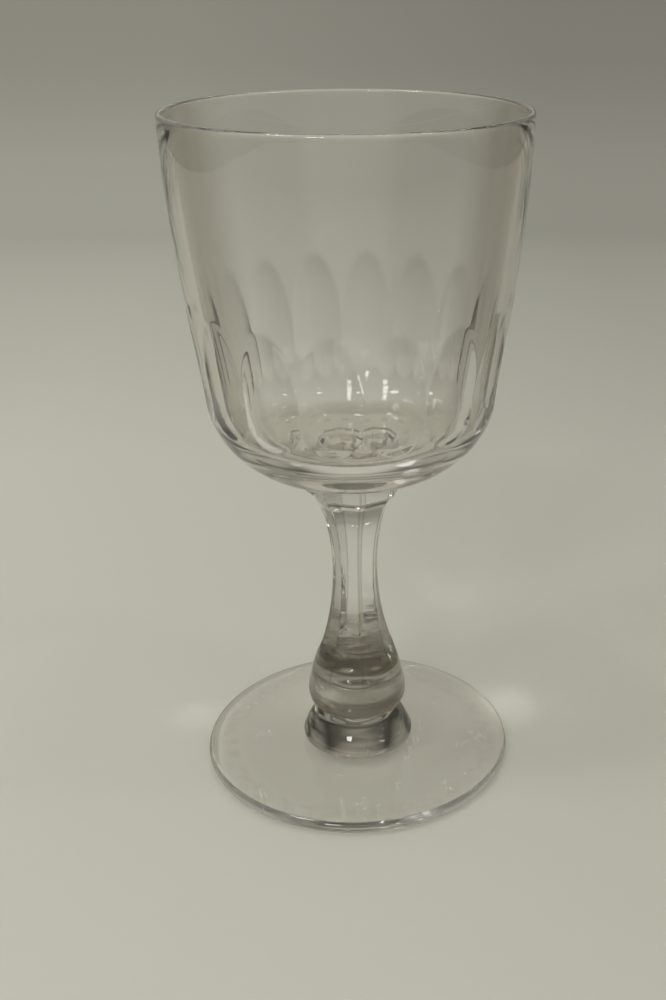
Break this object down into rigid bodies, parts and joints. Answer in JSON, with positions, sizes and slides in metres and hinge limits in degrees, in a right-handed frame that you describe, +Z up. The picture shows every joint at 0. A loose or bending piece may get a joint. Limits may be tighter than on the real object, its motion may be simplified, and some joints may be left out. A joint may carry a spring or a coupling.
{
  "type": "wine glass",
  "caption": "Stemmed cut-glass wine goblet: arched hollow flutes round a straight-sided bowl, a waisted faceted stem on a round knop and collar, and a disc foot.",
  "frame": {"origin": "the middle of the foot's underside, on the surface that the glass stands on", "axes": "+Z up along the axis of the bowl and stem, -Y towards the camera of the picture, +X to its right"},
  "size_m": [0.07, 0.07, 0.14],
  "materials": {
    "foot_glass": "clear, polished, faint wear on the standing ring",
    "collar_glass": "clear, fire polished",
    "stem_glass": "clear, cut and polished facets",
    "bowl_glass": "clear, cut and polished flutes, fire-polished rim"
  },
  "bodies": {
    "root": {"foot": "foot_glass", "collar": "collar_glass", "stem": "stem_glass", "bowl": "bowl_glass"}
  },
  "joints": []
}
